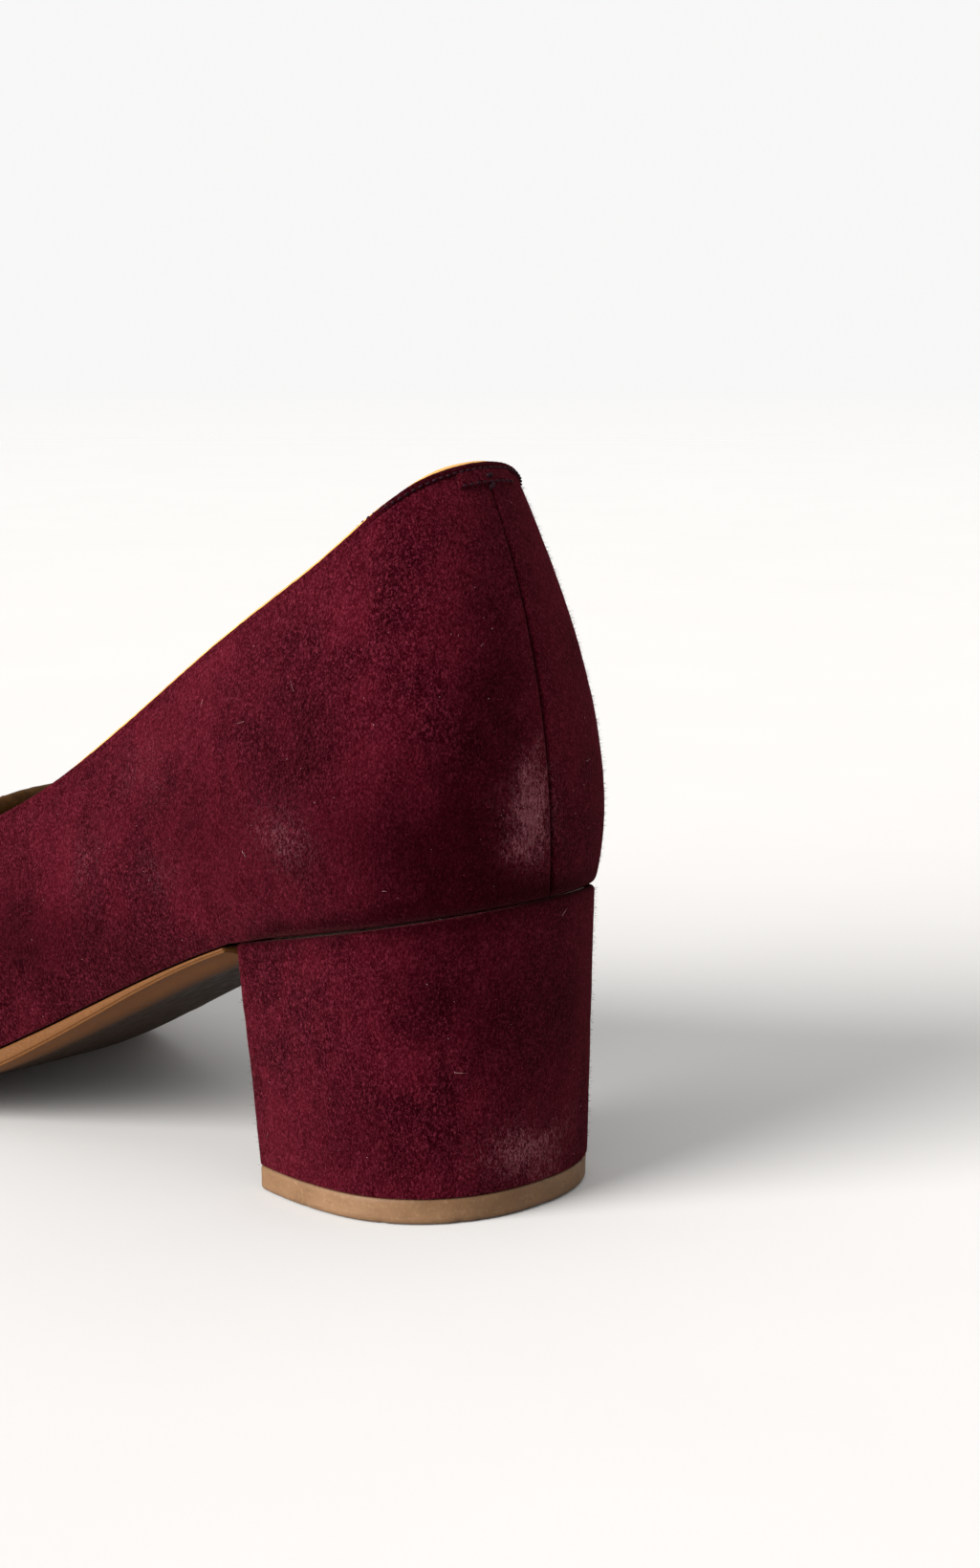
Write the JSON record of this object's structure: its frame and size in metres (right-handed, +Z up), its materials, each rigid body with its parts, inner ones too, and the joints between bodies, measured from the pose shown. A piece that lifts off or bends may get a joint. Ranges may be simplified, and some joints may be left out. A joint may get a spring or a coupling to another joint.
{
  "type": "penny loafer",
  "caption": "Heeled penny loafer for the left foot: suede upper with saddle strap and moccasin apron, suede-covered block heel, thin leather sole",
  "frame": {"origin": "the centre of the shoe's box in plan, on the floor it stands on", "axes": "+Z up, +Y towards the heel, -Y towards the toe, +X towards the shoe's outer side"},
  "size_m": [0.0822, 0.2232, 0.11],
  "materials": {
    "suede": "burgundy suede with a short, slightly mottled nap",
    "binding": "dark burgundy folded topline binding with one stitch row",
    "lining": "olive tan lining leather, matt",
    "sock": "tan sock leather, matt",
    "sole_leather": "tan leather sole, lighter waxed edge",
    "top_piece_rubber": "tan moulded top piece, matt and slightly scuffed",
    "heel_plastic": "moulded heel block, unpainted",
    "fibreboard": "leather fibreboard",
    "cork": "ground cork filler",
    "foam": "latex foam",
    "steel": "bare steel"
  },
  "bodies": {
    "root": {"apron": "suede", "apron_lining": "lining", "apron_seam": "suede", "forepart_filler": "cork", "heel_block": "heel_plastic", "heel_counter": "fibreboard", "heel_cover": "suede", "heel_nail_1": "steel", "heel_nail_2": "steel", "heel_nail_3": "steel", "heel_nail_4": "steel", "heel_pad": "foam", "heel_screw": "steel", "insole_board": "fibreboard", "outsole": "sole_leather", "quarter_inner": "suede", "quarter_lining": "lining", "quarter_outer": "suede", "saddle_strap": "suede", "shank": "steel", "shank_rivet_front": "steel", "shank_rivet_rear": "steel", "sock_lining": "sock", "toe_puff": "fibreboard", "tongue": "suede", "tongue_lining": "lining", "top_piece": "top_piece_rubber", "top_piece_pin_inner": "steel", "top_piece_pin_outer": "steel", "topline_binding": "binding", "vamp": "suede", "vamp_lining": "lining"}
  },
  "joints": []
}
